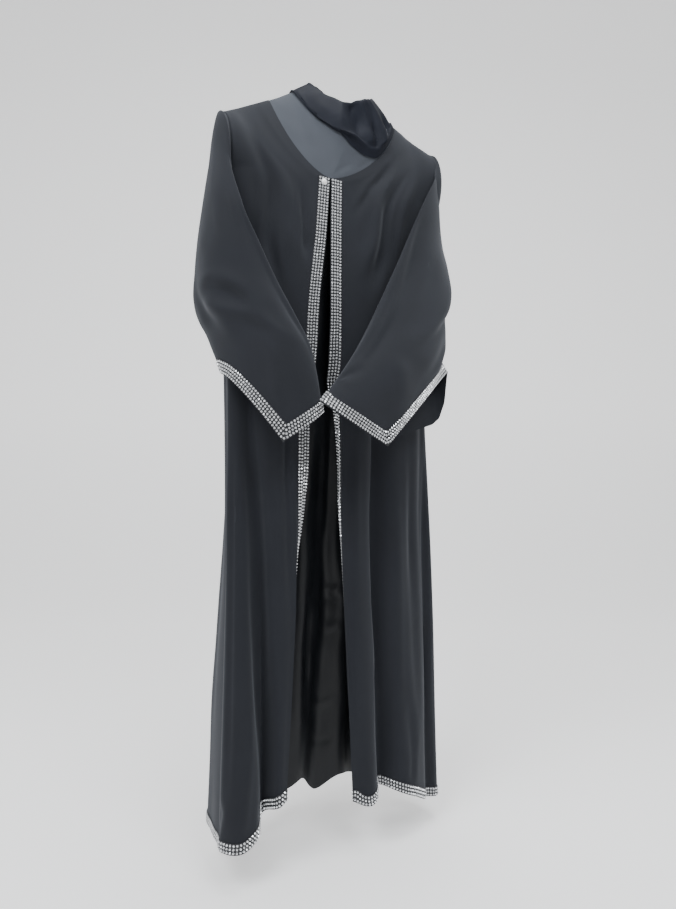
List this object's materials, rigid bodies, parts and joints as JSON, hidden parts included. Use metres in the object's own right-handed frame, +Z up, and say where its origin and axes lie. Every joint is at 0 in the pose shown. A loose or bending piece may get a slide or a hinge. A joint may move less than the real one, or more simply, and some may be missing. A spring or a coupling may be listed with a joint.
{
  "type": "abaya cloak",
  "caption": "Full-length open-front abaya cloak, filled out as if worn, with wide pointed sleeves brought forward, stone-trimmed edges, a matt yoke and a soft satin collar.",
  "frame": {"origin": "middle of the neck opening, level with the middle of the two shoulder seams' neck ends, where the wearer holds the robe up", "axes": "+X to the wearer's left, -Y out of the garment's front, +Z up"},
  "size_m": [0.5786, 0.3386, 1.538],
  "materials": {
    "matt_crepe": "matt black crepe with a slight blue-grey nap",
    "yoke_cloth": "matt dark grey",
    "satin": "soft black satin",
    "rhinestones": "clear faceted stones in dark net",
    "pearl": "pearl"
  },
  "bodies": {
    "root": {"back": "matt_crepe", "right_front": "matt_crepe", "left_front": "matt_crepe", "right_sleeve": "matt_crepe", "left_sleeve": "matt_crepe", "neck_yoke": "yoke_cloth", "collar": "satin", "satin_lining": "satin", "right_front_trim": "rhinestones", "left_front_trim": "rhinestones", "right_hem_trim": "rhinestones", "left_hem_trim": "rhinestones", "back_hem_trim": "rhinestones", "right_cuff_trim": "rhinestones", "left_cuff_trim": "rhinestones", "button": "pearl"}
  },
  "joints": []
}
